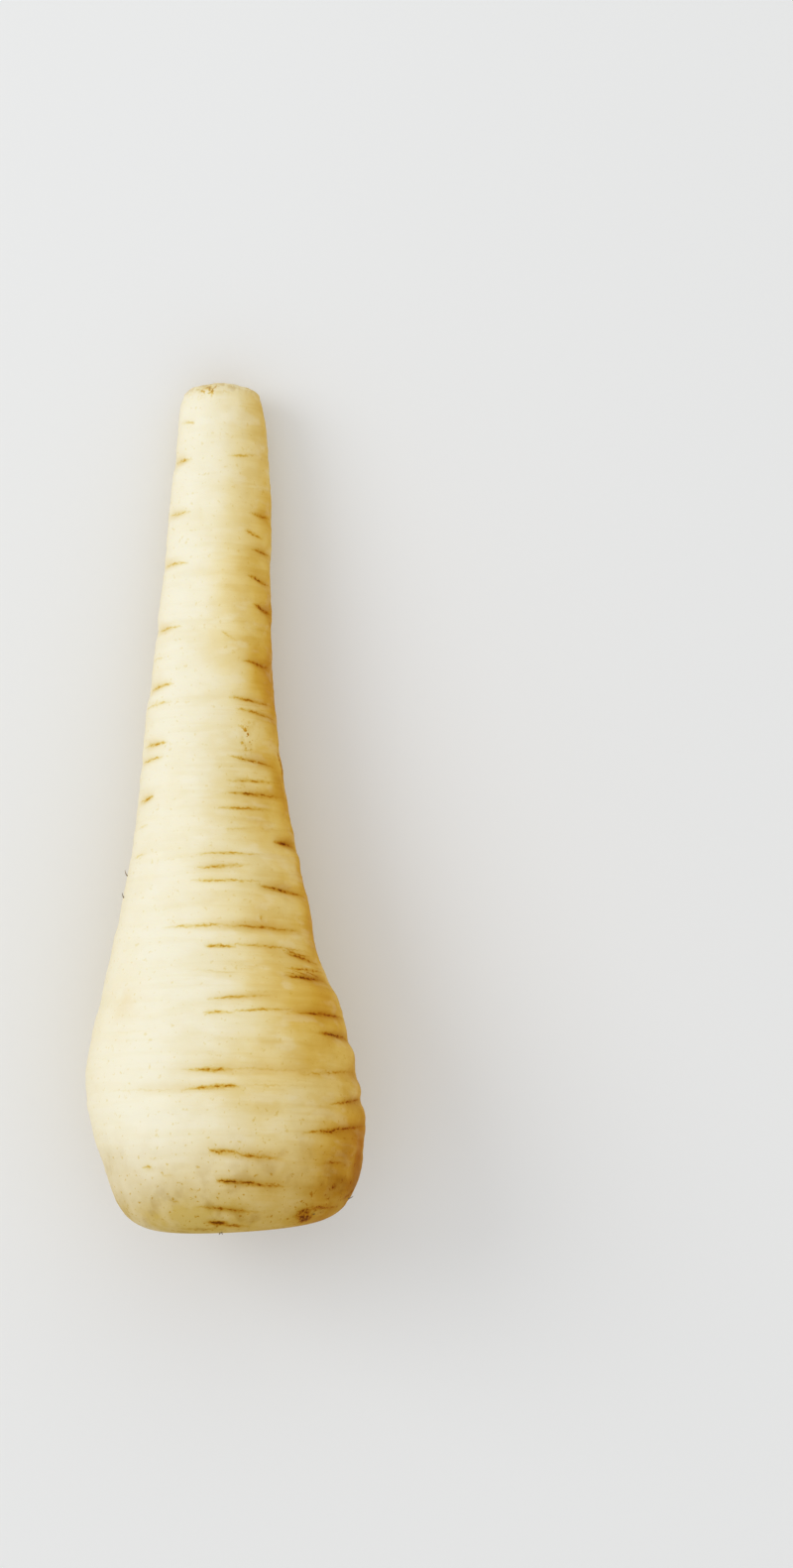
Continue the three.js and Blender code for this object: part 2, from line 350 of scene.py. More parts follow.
def beside(along, degrees, line):
    """For a crease or line: distance past its middle in mm, share of its reach, fade (1 - share^2)^2."""
    at, angle, reach, _, slant = line
    share = past(degrees, angle) / reach
    fade = np.where(abs(share) < 1, (1 - share**2) ** 2, 0.0)
    return along - at + share * slant / 2, share, fade


def crease_relief(along, degrees, creases):
    """Sum over the creases of a Gaussian groove with a wider Gaussian swelling on its crown side, in mm."""
    height = np.zeros(np.broadcast(along, degrees).shape)
    for crease in creases:
        offset, _, fade = beside(along, degrees, crease)
        offset = offset / CREASE_WIDTH
        height -= crease[3] * fade * np.exp(-(offset**2))
        swelling = np.exp(-(((offset + SWELLING_AWAY) / SWELLING_WIDTH) ** 2))
        height += SWELLING * crease[3] * fade * swelling
    return height


def line_relief(along, degrees, lines):
    """Sum over the fine lines of a Gaussian groove: LINE_WIDTH either way, LINE_DEPTH times the strength
    deep."""
    height = np.zeros(np.broadcast(along, degrees).shape)
    for line in lines:
        offset, _, fade = beside(along, degrees, line)
        height -= LINE_DEPTH * line[3] * fade * np.exp(-((offset / LINE_WIDTH) ** 2))
    return height


def unevenness(along, angle):
    """Broad waves of the top and underside, as in the part's source: a sum of two sines of along and angle,
    times sin(angle)^2, which leaves the outline from above alone."""
    waves = 0.5 * np.sin(along / 19 + 2 * angle) + 0.4 * np.sin(along / 11 - 3 * angle)
    return waves * np.sin(np.pi * np.clip(along / LENGTH, 0, 1)) * np.sin(angle) ** 2


def fine_relief(along, degrees, t):
    """Shallow dents, close transverse wrinkles, and the torn fibres of the broken end, in mm."""
    dents = 0.12 * soft_noise(along, degrees, 7.0, 14, 11)
    dents += 0.05 * soft_noise(along, degrees, 2.6, 40, 12)
    dents += 0.14 * soft_noise(along, degrees, 3.2, 6, 17)
    wrinkles = 0.06 * soft_noise(along, degrees, 0.9, 16, 13)
    wrinkles += 0.02 * soft_noise(along, degrees, 0.6, 90, 14)
    tear = 0.4 * soft_noise(3 * t, degrees, 1.0, 18, 15)
    tear += 0.2 * soft_noise(6 * t, degrees, 1.0, 44, 16)
    torn = eased((t - FRAYED) / 1.2) * eased((len(RINGS) - 0.8 - t) / 0.8)
    return (dents + wrinkles) * eased((t - LIP) / 2) + tear * torn


def bow(along):
    """Sag of the root's middle: half a sine wave."""
    return -BOW * np.sin(np.pi * np.clip(along / LENGTH, 0, 1))


def lie(across, along, height):
    """Turns the root's frame by its pitch, with the crown's face leaning by its nod, and centres the
    footprint."""
    nod = NOD * (1 - eased((along - NODDING[0]) / (NODDING[1] - NODDING[0])))
    axial = along - nod * height
    x = across - FOOTPRINT[0]
    y = axial * np.cos(PITCH) + height * np.sin(PITCH) - FOOTPRINT[1]
    z = height * np.cos(PITCH) - axial * np.sin(PITCH)
    return np.stack([x, y, z], axis=-1)


def ring_places():
    """Places along the rings: more of them where two rings lie further apart, so that the mesh's rows are
    about ROW_STEP apart."""
    places = []
    for i in range(len(RINGS) - 1):
        span = np.hypot(*(RINGS[i + 1, :2] - RINGS[i, :2]))
        rows = max(2, round(span / ROW_STEP))
        places.extend(i + np.arange(rows) / rows)
    return np.array(places + [len(RINGS) - 1.0])


def skin_grid(t, degrees, fine):
    """Skin at ring place t and angle: an ellipse between the outline's left and right points, plus the
    relief. Gives the points and their places along the root."""
    angle = np.radians(degrees)
    along_left, across_left, along_right, across_right = np.moveaxis(smooth_curve(RINGS, t), -1, 0)
    half = (across_right - across_left) / 2
    along = (along_left + along_right) / 2 + (along_right - along_left) / 2 * np.cos(angle)
    out = crease_relief(along, degrees, CREASES + hidden_creases()) + unevenness(along, angle)
    if fine:
        out = out + line_relief(along, degrees, LINES + hidden_lines())
    out = out * eased((t - LIP) / 3)
    if fine:
        out = out + fine_relief(along, degrees, t)
    across = (across_left + across_right) / 2 + (half + out) * np.cos(angle)
    height = bow(along) + (half + out) * FLATNESS * np.sin(angle)
    return lie(across, along, height), along


def hidden_lines():
    """A brown line in each crease of the underside, a little shorter than it, and two finer ones beside."""
    rng = np.random.default_rng(31)
    lines = []
    for along, angle, reach, depth, slant in hidden_creases():
        lines.append((along, angle, 0.8 * reach, 0.5 + 0.7 * depth, slant))
        for _ in range(2):
            aside, turned, shorter, strength = rng.uniform((-3, -14, 0.3, 0.15), (3, 14, 0.7, 0.5))
            lines.append((along + aside, angle + turned, shorter * reach, strength, slant))
    return lines


def line_marks(along, degrees):
    """For each place: its distance from the strongest line near it, that line's strength there, and the
    soft halo of them all, 1 minus the product of 1 - strength * Gaussian of the distance. On the upper side
    a line is stronger at its end nearer the middle."""
    far = 4.0
    shape = np.broadcast(along, degrees).shape
    strongest = np.zeros(shape)
    offset_there = np.full(shape, far)
    strength_there = np.zeros(shape)
    clear = np.ones(shape)
    for line in LINES + hidden_lines():
        offset, share, fade = beside(along, degrees, line)
        side = 1.0 if line[1] < 92 or line[1] > 200 else -1.0
        strength = line[3] * np.sqrt(fade) * (0.62 + 0.38 * side * share)
        pull = strength * np.exp(-((offset / 0.6) ** 2))
        nearer = pull > strongest
        strongest = np.where(nearer, pull, strongest)
        offset_there = np.where(nearer, offset, offset_there)
        near_line = 1 - eased((abs(offset) - 0.4) / 0.6)
        strength_there = np.where(nearer, strength * near_line, strength_there)
        clear *= 1 - np.clip(strength, 0, 1) * np.exp(-((offset / 0.8) ** 2))
    return {
        "line_offset": np.clip(offset_there, -far, far),
        "line_strength": np.clip(strength_there, 0, 1),
        "halo": 1 - clear,
    }


def patches(along, degrees, places, radius_round):
    """Sum over the places of strength * exp(-(distance / size)^2), with angles turned into mm round the
    root, held at 1."""
    total = np.zeros(np.broadcast(along, degrees).shape)
    for at, angle, half_along, half_round, strength in places:
        turn = np.radians(past(degrees, angle)) * radius_round
        total += strength * np.exp(-(((along - at) / half_along) ** 2) - (turn / half_round) ** 2)
    return np.clip(total, 0, 1)


def closed_mesh(name, shells, marks=None):
    """Object of closed skins. Each is a grid of points in mm, rows by sides, whose first and last rows
    close to the mean of their points; marks are named grids of numbers that its material reads."""
    rows, sides = shells[0].shape[:2]
    inner = rows - 2
    side = np.arange(sides)
    after = (side + 1) % sides
    row = np.arange(inner - 1)[:, None] * sides + 1
    quads = np.stack([row + side, row + sides + side, row + sides + after, row + after], axis=-1)
    quads = quads.reshape(-1, 4)
    first = np.stack([0 * side, 1 + side, 1 + after], axis=-1)
    end = 1 + inner * sides
    last = np.stack([0 * side + end, end - sides + after, end - sides + side], axis=-1)
    count = end + 1
    points, faces = [], []
    for n, shell in enumerate(shells):
        poles = shell[0].mean(0), shell[-1].mean(0)
        points.append(np.vstack([poles[0], shell[1:-1].reshape(-1, 3), poles[1]]))
        faces.extend((quads + n * count).tolist())
        faces.extend((first + n * count).tolist())
        faces.extend((last + n * count).tolist())
    mesh = bpy.data.meshes.new(name)
    mesh.from_pydata((np.vstack(points) * MM).tolist(), [], faces)
    for key, grids in (marks or {}).items():
        values = [np.concatenate([[g[0].mean()], g[1:-1].ravel(), [g[-1].mean()]]) for g in grids]
        layer = mesh.attributes.new(key, "FLOAT", "POINT")
        layer.data.foreach_set("value", np.concatenate(values).astype(np.float32))
    mesh.shade_smooth()
    mesh.update()
    piece = bpy.data.objects.new(name, mesh)
    bpy.context.scene.collection.objects.link(piece)
    return piece


# Node helpers
def linear(red, green, blue):
    """Colour given as 0 to 255 on a screen, as the linear RGBA that a socket takes."""
    c = np.array([red, green, blue]) / 255
    c = np.where(c <= 0.04045, c / 12.92, ((c + 0.055) / 1.055) ** 2.4)
    return (*c.tolist(), 1.0)


def feed(tree, socket, value):
    if isinstance(value, bpy.types.NodeSocket):
        tree.links.new(value, socket)
    else:
        socket.default_value = value


def node(tree, kind, inputs=None, **settings):
    made = tree.nodes.new(kind)
    for name, value in settings.items():
        setattr(made, name, value)
    for key, value in (inputs or {}).items():
        feed(tree, made.inputs[key], value)
    return made


def calc(tree, operation, *values):
    made = node(tree, "ShaderNodeMath", operation=operation)
    for socket, value in zip(made.inputs, values):
        feed(tree, socket, value)
    return made.outputs[0]


def held(tree, value, low, high):
    """Value moved from low..high to 0..1, eased and held."""
    made = node(tree, "ShaderNodeMapRange", {0: value, 1: low, 2: high}, interpolation_type="SMOOTHSTEP")
    return made.outputs[0]


def times(tree, value, by):
    return calc(tree, "MULTIPLY", value, by)


def scaled(tree, value, by, plus):
    """Value times by, plus plus."""
    return calc(tree, "MULTIPLY_ADD", value, by, plus)


def mixed(tree, factor, below, above, blend="MIX"):
    made = node(tree, "ShaderNodeMix", data_type="RGBA", blend_type=blend)
    feed(tree, made.inputs[0], factor)
    feed(tree, made.inputs[6], below)
    feed(tree, made.inputs[7], above)
    return made.outputs[2]


def tinted(tree, factor, colour, tint):
    """Colour multiplied by the tint, as far as the factor says."""
    return mixed(tree, factor, colour, tint, "MULTIPLY")


def ramp(tree, factor, stops):
    """Colour by factor, along stops of (place, colour)."""
    made = node(tree, "ShaderNodeValToRGB", {"Fac": factor})
    elements = made.color_ramp.elements
    while len(elements) < len(stops):
        elements.new(0.5)
    for element, (place, colour) in zip(elements, stops):
        element.position = place
        element.color = colour
    return made.outputs["Color"]


def line_shape(tree, offset, width):
    """Gaussian of the offset over the width."""
    share = calc(tree, "DIVIDE", calc(tree, "ABSOLUTE", offset), width)
    return calc(tree, "EXPONENT", times(tree, calc(tree, "POWER", share, 2.0), -1.0))


def noise(tree, vector, scale, detail):
    inputs = {"Vector": vector, "Scale": scale, "Detail": detail}
    return node(tree, "ShaderNodeTexNoise", inputs).outputs[0]


def mark(tree, name):
    return node(tree, "ShaderNodeAttribute", attribute_name=name).outputs["Fac"]


def root_coordinates(tree, stretch):
    """Object coordinates turned so that Y runs along the root's axis, then scaled by stretch."""
    place = node(tree, "ShaderNodeTexCoord").outputs["Object"]
    turned = node(tree, "ShaderNodeMapping", {"Vector": place, "Rotation": (float(PITCH), 0, 0)})
    return node(tree, "ShaderNodeMapping", {"Vector": turned.outputs[0], "Scale": stretch}).outputs[0]


def mottle_group():
    """Node group: cloudy noise, eased from 0 below Low to 1 above High."""
    group = bpy.data.node_groups.new("mottle", "ShaderNodeTree")
    group.interface.new_socket("Vector", in_out="INPUT", socket_type="NodeSocketVector")
    for name, value in (("Scale", 1.0), ("Detail", 3.0), ("Low", 0.35), ("High", 0.65)):
        socket = group.interface.new_socket(name, in_out="INPUT", socket_type="NodeSocketFloat")
        socket.default_value = value
    group.interface.new_socket("Mask", in_out="OUTPUT", socket_type="NodeSocketFloat")
    enters = node(group, "NodeGroupInput").outputs
    cloud = noise(group, enters["Vector"], enters["Scale"], enters["Detail"])
    leaves = node(group, "NodeGroupOutput")
    feed(group, leaves.inputs["Mask"], held(group, cloud, enters["Low"], enters["High"]))
    return group


MOTTLE = mottle_group()


def mottle(tree, vector, scale, detail=3.0, low=0.35, high=0.65):
    inputs = {"Vector": vector, "Scale": scale, "Detail": detail, "Low": low, "High": high}
    return node(tree, "ShaderNodeGroup", inputs, node_tree=MOTTLE).outputs["Mask"]


def new_material(name):
    material = bpy.data.materials.new(name)
    material.use_nodes = True
    tree = material.node_tree
    return material, tree, tree.nodes["Principled BSDF"]


# Its darker golden stops stand partly for painted shade on the flank away from the key lamp
GROUND = [  # skin colour by its share of gold
    (0.04, linear(247, 243, 223)),
    (0.23, linear(246, 238, 208)),
    (0.40, linear(242, 226, 174)),
    (0.55, linear(236, 211, 140)),
    (0.68, linear(230, 196, 104)),
    (0.82, linear(219, 175, 68)),
    (0.97, linear(209, 156, 50)),
]
RUST = [  # what rust lets through of the skin's colour, from a faint halo to the core of a line
    (0.0, linear(255, 255, 255)),
    (0.2, linear(244, 234, 194)),
    (0.4, linear(232, 208, 130)),
    (0.6, linear(218, 176, 74)),
    (0.8, linear(192, 138, 28)),
    (1.0, linear(146, 95, 5)),
]
TORN = [  # broken end, from its gaps to its fibres
    (0.1, linear(216, 192, 138)),
    (0.5, linear(231, 214, 166)),
    (0.9, linear(239, 227, 188)),
]
# Tints of the skin, which multiply its colour, some of them painted shade, and the pale colour of its
# scuffs
CLOUD_TINT = linear(238, 224, 168)
STREAK_TINT = linear(244, 234, 192)
GRIME_AND_SHADE_TINT = linear(207, 184, 114)
SMEAR_TINT = linear(206, 182, 116)
CREASE_SHADE_TINT = linear(238, 218, 158)
STAIN_TINT = linear(234, 198, 88)
CORE_TINT = linear(176, 134, 70)
PIT_TINT = linear(184, 144, 88)
SCUFFED = linear(249, 243, 220)


def skin_colour(tree, even, across):
    """Ground colour from cream to golden, partly painted shade on the flank away from the key lamp; clouds,
    fine streaks across the root and paler scuffs; grime near the crown, partly painted shade of the
    shoulder, and its smears; painted shade in the creases; and stains."""
    # Golden tone: partly the skin's own colour, partly painted shade on the flank away from the key lamp
    gold_and_shade = mark(tree, "gold_and_shade")
    cloud = calc(tree, "SUBTRACT", mottle(tree, even, 60, 5), 0.5)
    colour = ramp(tree, times(tree, gold_and_shade, scaled(tree, cloud, 0.3, 1.0)), GROUND)

    warm = scaled(tree, gold_and_shade, 0.5, 0.08)
    clouds = mottle(tree, root_coordinates(tree, (120, 190, 120)), 1.0, 8, 0.44, 0.62)
    colour = tinted(tree, times(tree, clouds, warm), colour, CLOUD_TINT)
    streaks = mottle(tree, across, 1.0, 5, 0.47, 0.64)
    colour = tinted(tree, times(tree, streaks, warm), colour, STREAK_TINT)
    scuffs = mottle(tree, root_coordinates(tree, (150, 330, 150)), 1.0, 7, 0.5, 0.64)
    colour = mixed(tree, times(tree, scuffs, scaled(tree, gold_and_shade, -0.25, 0.32)), colour, SCUFFED)

    # Grime near the crown: partly real dirt, partly painted shade of the shoulder as it turns away
    grime_and_shade = mark(tree, "grime_and_shade")
    cloud = mottle(tree, even, 160, 6, 0.25, 0.75)
    colour = tinted(tree, times(tree, grime_and_shade, scaled(tree, cloud, 0.45, 0.85)), colour, GRIME_AND_SHADE_TINT)
    smears = mottle(tree, root_coordinates(tree, (260, 200, 260)), 1.0, 7, 0.5, 0.68)
    colour = tinted(tree, times(tree, times(tree, smears, grime_and_shade), 0.5), colour, SMEAR_TINT)

    # Painted shade in the creases, deeper where they sink further
    colour = tinted(tree, mark(tree, "crease_shade"), colour, CREASE_SHADE_TINT)
    stain = times(tree, mark(tree, "stain"), mottle(tree, even, 220, 5, 0.25, 0.6))
    return tinted(tree, stain, colour, STAIN_TINT)


def line_rust(tree, even, across):
    """Rust of the lines, wavering and broken: a soft halo, a golden lens and a darker, grainy core. Gives
    the rust and the core."""
    waver = times(tree, calc(tree, "SUBTRACT", noise(tree, even, 300.0, 4.0), 0.5), 0.7)
    crumble = calc(tree, "SUBTRACT", noise(tree, even, 1500.0, 3.0), 0.5)
    offset = calc(tree, "ADD", mark(tree, "line_offset"), scaled(tree, crumble, 0.8, waver))
    strength = mark(tree, "line_strength")
    solid = calc(tree, "MINIMUM", times(tree, strength, 1.5), 1.0)
    grain = mottle(tree, root_coordinates(tree, (900, 1500, 900)), 1.0, 4, 0.4, 0.6)
    breakup = mottle(tree, across, 2.2, 5, 0.3, 0.7)
    halo = times(tree, mark(tree, "halo"), scaled(tree, breakup, 0.5, 0.4))
    lens = times(tree, line_shape(tree, offset, scaled(tree, strength, 0.62, 0.16)), solid)
    lens = times(tree, lens, scaled(tree, grain, 0.4, 0.6))
    core = line_shape(tree, offset, scaled(tree, strength, 0.28, 0.06))
    core = times(tree, core, times(tree, solid, scaled(tree, grain, 0.8, 0.2)))
    core = calc(tree, "MINIMUM", core, 1.0)
    rust = scaled(tree, lens, 0.5, times(tree, halo, 0.34))
    return scaled(tree, core, 0.64, rust), core


def mark_rust(tree, even):
    """Rust of the small specks, which are closer together near the crown, of the speckled scabs and of the
    dark spots. Gives the rust and the scabs' pits."""
    specks = mottle(tree, even, 1150, 3, 0.62, 0.72)
    specks = times(tree, specks, scaled(tree, mark(tree, "grime_and_shade"), 0.45, 0.12))
    scab = mark(tree, "scab")
    smudge = times(tree, scab, mottle(tree, even, 420, 4, 0.4, 0.65))
    pits = times(tree, scab, mottle(tree, even, 1150, 3, 0.56, 0.62))
    crust = scaled(tree, mottle(tree, even, 2000, 3, 0.4, 0.6), 0.7, 0.4)
    spot = times(tree, mark(tree, "spot"), crust)
    dark = calc(tree, "MAXIMUM", specks, calc(tree, "MAXIMUM", times(tree, pits, 0.75), spot))
    return scaled(tree, smudge, 0.3, dark), pits


def end_colour(tree, even, colour):
    """Skin's colour, with the fibres of the broken end and the ring round its core, and the pit's wall."""
    fibres = mottle(tree, even, 1000, 5, 0.34, 0.66)
    ring = times(tree, mark(tree, "ring"), scaled(tree, fibres, 0.5, 0.4))
    face = tinted(tree, ring, ramp(tree, fibres, TORN), CORE_TINT)
    torn = times(tree, mark(tree, "torn"), scaled(tree, mottle(tree, even, 500), 0.4, 0.6))
    colour = mixed(tree, torn, colour, face)
    crumbs = mottle(tree, even, 900, 5, 0.35, 0.65)
    wall = times(tree, mark(tree, "pit"), scaled(tree, crumbs, 0.5, 0.65))
    return tinted(tree, calc(tree, "MINIMUM", wall, 1.0), colour, PIT_TINT)


def skin_material():
    """Cream skin, golden on one flank and grimy at the shoulder, both partly painted shade, with brown
    lines, scabs and a torn end.
    """
    material, tree, shader = new_material("parsnip_skin")
    even = root_coordinates(tree, (1, 1, 1))
    across = root_coordinates(tree, (60, 700, 60))

    rust, core = line_rust(tree, even, across)
    marks, pits = mark_rust(tree, even)
    through = ramp(tree, calc(tree, "ADD", rust, marks), RUST)
    colour = tinted(tree, 1.0, skin_colour(tree, even, across), through)
    feed(tree, shader.inputs["Base Color"], end_colour(tree, even, colour))

    rough = calc(tree, "ADD", 0.42, times(tree, mottle(tree, even, 300, 4), 0.12))
    rough = calc(tree, "ADD", rough, times(tree, core, 0.25))
    feed(tree, shader.inputs["Roughness"], rough)
    height = scaled(tree, noise(tree, even, 1500.0, 4.0), 0.4, noise(tree, across, 1.6, 6.0))
    height = calc(tree, "SUBTRACT", height, times(tree, calc(tree, "ADD", core, pits), 0.8))
    bump = node(tree, "ShaderNodeBump", {"Height": height, "Strength": 0.5, "Distance": 0.00012})
    feed(tree, shader.inputs["Normal"], bump.outputs[0])
    shader.inputs["Subsurface Weight"].default_value = 0.06
    shader.inputs["Subsurface Radius"].default_value = (1.0, 0.8, 0.4)
    shader.inputs["Subsurface Scale"].default_value = 0.002
    shader.inputs["Specular IOR Level"].default_value = 0.03
    return material


# The dark end stands for painted shade deep in the crevices between the stubs
STALK = [  # dry leaf stalk, from dark crevices to pale broken fibres
    (0.0, linear(66, 42, 22)),
    (0.3, linear(128, 98, 62)),
    (0.6, linear(178, 150, 108)),
    (1.0, linear(222, 200, 156)),
]
WARM_TINT = linear(232, 196, 138)
ROOTLET_BROWNS = (linear(126, 98, 58), linear(92, 68, 40))
# Floor's colour for the light that it throws back, and for the camera
FLOOR_THROWN = linear(226, 212, 180)
FLOOR_SEEN = linear(239, 240, 241)


def stalk_material():
    """Dry leaf stalk: crumbly tan fibres, painted shade low in the crevices, some stubs paler, pale where
    they broke.
    """
    material, tree, shader = new_material("parsnip_dry_stalk")
    even = root_coordinates(tree, (1, 1, 1))
    fibres = mottle(tree, root_coordinates(tree, (2400, 420, 2400)), 1.0, 5, 0.3, 0.7)
    crumbs = mottle(tree, even, 800, 6, 0.3, 0.7)
    shade = scaled(tree, crumbs, 0.3, scaled(tree, fibres, 0.22, 0.12))
    shade = scaled(tree, mark(tree, "pale"), 0.4, shade)
    shade = scaled(tree, mark(tree, "top"), 0.18, shade)
    # Painted shade: darker low down between the stubs
    shade = times(tree, shade, scaled(tree, mark(tree, "deep"), -0.75, 1.0))
    warm = times(tree, mottle(tree, even, 260, 3, 0.4, 0.6), 0.5)
    colour = tinted(tree, warm, ramp(tree, shade, STALK), WARM_TINT)
    feed(tree, shader.inputs["Base Color"], colour)
    shader.inputs["Roughness"].default_value = 0.85
    shader.inputs["Specular IOR Level"].default_value = 0.2
    height = scaled(tree, fibres, 0.6, noise(tree, even, 1800.0, 6.0))
    bump = node(tree, "ShaderNodeBump", {"Height": height, "Strength": 0.9, "Distance": 0.0003})
    feed(tree, shader.inputs["Normal"], bump.outputs[0])
    return material


def rootlet_material():
    """Dried rootlet: brown, darker in patches."""
    material, tree, shader = new_material("parsnip_rootlet")
    patched = mottle(tree, root_coordinates(tree, (1, 1, 1)), 900, 3)
    feed(tree, shader.inputs["Base Color"], mixed(tree, patched, *ROOTLET_BROWNS))
    shader.inputs["Roughness"].default_value = 0.8
    return material


def floor_material():
    """Plain pale surface, which throws a warm light back on what lies on it."""
    material, tree, shader = new_material("pale_floor")
    seen = node(tree, "ShaderNodeLightPath").outputs["Is Camera Ray"]
    feed(tree, shader.inputs["Base Color"], mixed(tree, seen, FLOOR_THROWN, FLOOR_SEEN))
    shader.inputs["Roughness"].default_value = 0.7
    shader.inputs["Specular IOR Level"].default_value = 0.2
    return material


def dress(piece, material, slot, *nodes):
    piece.data.materials.append(material)
    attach(piece, "root")
    if nodes:
        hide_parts(*nodes)


def lift():
    """Height that puts the pressed underside on the surface, from the skin without its fine relief."""
    degrees = np.linspace(180, 360, 91)[None, :]
    skin, _ = skin_grid(ring_places()[::3, None] + 0 * degrees, degrees, fine=False)
    return -skin[..., 2].min() - PRESSED


LIFT = lift()


def make_root():
    """The skin on its grid, flat where it rests, with the marks that its material reads: golden tone round
    and along the root, partly painted shade on the flank away from the key lamp; grime near the crown,
    partly painted shade of the shoulder; painted shade in the creases; patches, and bands along the rings."""
    degrees = (360 * np.arange(SIDES) / SIDES)[None, :]
    t = ring_places()[:, None] + 0 * degrees
    skin, along = skin_grid(t, degrees, fine=True)
    skin[..., 2] = np.maximum(skin[..., 2] + LIFT, 0)
    degrees = degrees + 0 * t
    outside = eased((t - LIP) / 1.5)
    radius = np.maximum(26 - 0.11 * along, 6)
    uneven = 0.06 * soft_noise(along, degrees, 11, 9, 21)
    finer = 0.06 * soft_noise(along, degrees, 4, 24, 22)
    # Golden tone by angle: the skin's own golden flank, and painted shade on the side away from the key
    # lamp
    gold_and_shade = np.interp(degrees, GOLD_AND_SHADE[:, 0], GOLD_AND_SHADE[:, 1]) * (1 + uneven + finer)
    gold_and_shade *= 1 - 0.25 * eased((along - 115) / 35)
    gold_and_shade += 0.06 * eased((24 - along) / 20) - 0.14 * eased((13 - along) / 8)
    # Grime near the crown, partly real dirt and partly painted shade of the shoulder; more on the shaded
    # flank
    grime_and_shade = eased((22 - along) / 20) * (0.85 + 0.3 * soft_noise(along, degrees, 5, 12, 23))
    grime_and_shade = np.clip(grime_and_shade + 0.35 * eased((44 - along) / 30) * gold_and_shade, 0, 1)
    # Painted shade in the creases: a tint as strong as the crease is deep
    crease_shade = np.clip(-crease_relief(along, degrees, CREASES + hidden_creases()), 0, 1)
    marks = {
        "gold_and_shade": np.clip(gold_and_shade, 0, 1),
        "grime_and_shade": grime_and_shade * eased((t - 3.4) / 0.8),
        "stain": patches(along, degrees, STAINS, radius),
        "spot": patches(along, degrees, SPOTS, radius),
        "scab": patches(along, degrees, SCABS, radius),
        "crease_shade": crease_shade * outside,
        "torn": eased((t - FACE) / 0.8),
        "ring": np.exp(-(((t - CORE) / 0.12) ** 2)),
        "pit": 1 - eased((t - 2.4) / 2.2),
    }
    marks.update(line_marks(along, degrees))
    marks["halo"] = marks["halo"] * outside
    marks["line_strength"] = marks["line_strength"] * outside
    grids = {key: [value + 0 * t] for key, value in marks.items()}
    piece = closed_mesh("parsnip_root", [skin], grids)
    dress(piece, skin_material(), "skin", "root")
    return skin, along, degrees


# Leaf stalks' stubs, as in the part's source
CROWN_TILT = np.radians(3.4)
STUBS = 27
STUB_SEED = 2903
STUB_SPREAD = 1.72
GOLDEN_ANGLE = np.pi * (3 - np.sqrt(5))
STUB_SUNK = 1.2
INNER = 5
TOP = 6.7
FIBRES = 70
CUSHION = np.array(
    [
        (0, 0.35),
        (5.4, 0.45),
        (8.0, 1.15),
        (9.7, 2.7),
        (10.2, 3.7),
        (9.7, 4.1),
        (7.0, 4.5),
        (3.5, 4.8),
        (0, 4.9),
    ]
)


def in_crown(points):
    """Points of the crown's frame, +Z out of the crown, turned and moved to where the pit's middle lies."""
    turn = np.pi / 2 - PITCH + np.arctan(NOD)
    c, s = np.cos(turn), np.sin(turn)
    about_x = np.array([[1, 0, 0], [0, c, -s], [0, s, c]])
    c, s = np.cos(CROWN_TILT), np.sin(CROWN_TILT)
    about_z = np.array([[c, -s, 0], [s, c, 0], [0, 0, 1]])
    along, across = RINGS[0, 0], RINGS[0, 1]
    middle = lie(np.array(across), np.array(along), bow(np.array(along))) + (0, 0, LIFT)
    return points @ (about_z @ about_x).T + middle


def cushion_top(away):
    """Height of the cushion's top at a distance from its middle, along straight parts of its profile."""
    top = CUSHION[5:][::-1]
    return np.interp(away, top[:, 0], top[:, 1])


def cushion_shell(rows, sides):
    """The cushion: points on the straight lines of its profile, turned round, with crumbs on its top."""
    t = np.linspace(0, len(CUSHION) - 1, rows)[:, None]
    radius = np.interp(t, np.arange(len(CUSHION)), CUSHION[:, 0])
    height = np.interp(t, np.arange(len(CUSHION)), CUSHION[:, 1])
    round_ = (2 * np.pi * np.arange(sides) / sides)[None, :]
    crumbs = 0.4 * soft_noise(8 * t, np.degrees(round_), 3, 16, 41)
    crumbs += 0.25 * soft_noise(8 * t, np.degrees(round_), 1.2, 48, 42)
    height = height + crumbs * eased(t - 3.5) * eased(8 - t)
    return np.stack([radius * np.cos(round_), radius * np.sin(round_), height], axis=-1)


